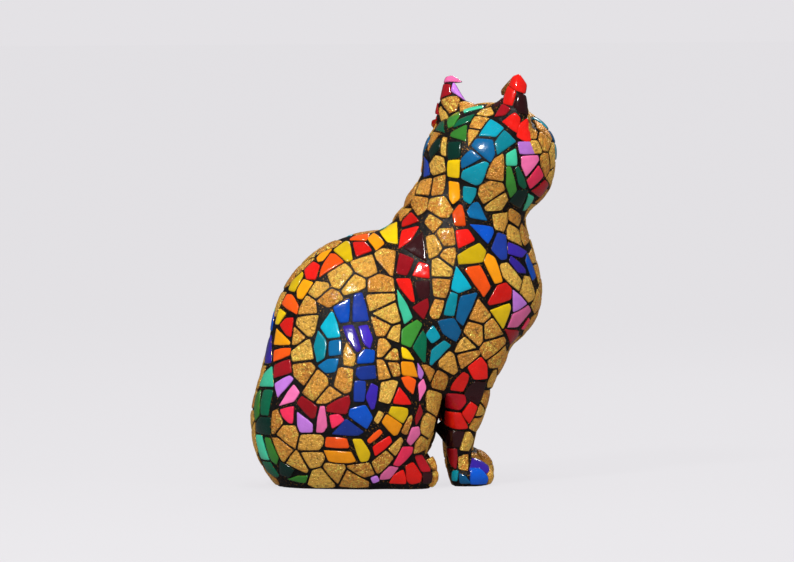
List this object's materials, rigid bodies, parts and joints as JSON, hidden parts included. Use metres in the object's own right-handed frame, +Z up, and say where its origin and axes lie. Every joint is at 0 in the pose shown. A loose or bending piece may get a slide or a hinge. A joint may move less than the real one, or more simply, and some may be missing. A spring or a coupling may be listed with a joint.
{
  "type": "mosaic cat figurine",
  "caption": "Seated cat figurine with its head turned to its left, covered in domed enamel and gold-leaf tiles set in black grout.",
  "frame": {"origin": "on the table, under the middle of the figure's bounding box", "axes": "+Z up; the cat's chest faces -Y and its right side is towards -X; its head is turned 40 degrees towards +X"},
  "size_m": [0.0824, 0.1356, 0.18],
  "materials": {
    "black_grout": "matt black, with flecks of gold beside the tiles",
    "peg_wood": "plain turned wood",
    "gold_leaf": "crinkled gold leaf over a resin tile, under a clear coat",
    "red_enamel": "glossy enamel, slightly domed",
    "crimson_enamel": "glossy enamel, slightly domed",
    "maroon_enamel": "glossy enamel, slightly domed",
    "orange_enamel": "glossy enamel, slightly domed",
    "amber_enamel": "glossy enamel, slightly domed",
    "yellow_enamel": "glossy enamel, slightly domed",
    "rose_enamel": "glossy enamel, slightly domed",
    "pink_enamel": "glossy enamel, slightly domed",
    "lavender_enamel": "glossy enamel, slightly domed",
    "violet_enamel": "glossy enamel, slightly domed",
    "navy_enamel": "glossy enamel, slightly domed",
    "blue_enamel": "glossy enamel, slightly domed",
    "turquoise_enamel": "glossy enamel, slightly domed",
    "teal_enamel": "glossy enamel, slightly domed",
    "petrol_enamel": "glossy enamel, slightly domed",
    "mint_enamel": "glossy enamel, slightly domed",
    "green_enamel": "glossy enamel, slightly domed",
    "forest_enamel": "glossy enamel, slightly domed",
    "pine_enamel": "glossy enamel, slightly domed"
  },
  "bodies": {
    "root": {"body_core": "black_grout", "head_core": "black_grout", "right_ear": "black_grout", "left_ear": "black_grout", "right_foreleg": "black_grout", "left_foreleg": "black_grout", "neck_peg": "peg_wood", "ear_pegs": "peg_wood", "foreleg_pegs": "peg_wood", "body_gold_tiles": "gold_leaf", "body_red_tiles": "red_enamel", "body_crimson_tiles": "crimson_enamel", "body_maroon_tiles": "maroon_enamel", "body_orange_tiles": "orange_enamel", "body_amber_tiles": "amber_enamel", "body_yellow_tiles": "yellow_enamel", "body_rose_tiles": "rose_enamel", "body_pink_tiles": "pink_enamel", "body_lavender_tiles": "lavender_enamel", "body_violet_tiles": "violet_enamel", "body_navy_tiles": "navy_enamel", "body_blue_tiles": "blue_enamel", "body_turquoise_tiles": "turquoise_enamel", "body_teal_tiles": "teal_enamel", "body_petrol_tiles": "petrol_enamel", "body_mint_tiles": "mint_enamel", "body_green_tiles": "green_enamel", "body_forest_tiles": "forest_enamel", "body_pine_tiles": "pine_enamel", "head_gold_tiles": "gold_leaf", "head_red_tiles": "red_enamel", "head_crimson_tiles": "crimson_enamel", "head_maroon_tiles": "maroon_enamel", "head_rose_tiles": "rose_enamel", "head_pink_tiles": "pink_enamel", "head_lavender_tiles": "lavender_enamel", "head_yellow_tiles": "yellow_enamel", "head_navy_tiles": "navy_enamel", "head_turquoise_tiles": "turquoise_enamel", "head_teal_tiles": "teal_enamel", "head_petrol_tiles": "petrol_enamel", "head_mint_tiles": "mint_enamel", "head_green_tiles": "green_enamel", "head_forest_tiles": "forest_enamel", "head_pine_tiles": "pine_enamel", "leg_gold_tiles": "gold_leaf", "leg_red_tiles": "red_enamel", "leg_crimson_tiles": "crimson_enamel", "leg_maroon_tiles": "maroon_enamel", "leg_rose_tiles": "rose_enamel", "leg_violet_tiles": "violet_enamel", "leg_blue_tiles": "blue_enamel", "leg_teal_tiles": "teal_enamel", "leg_petrol_tiles": "petrol_enamel"}
  },
  "joints": []
}
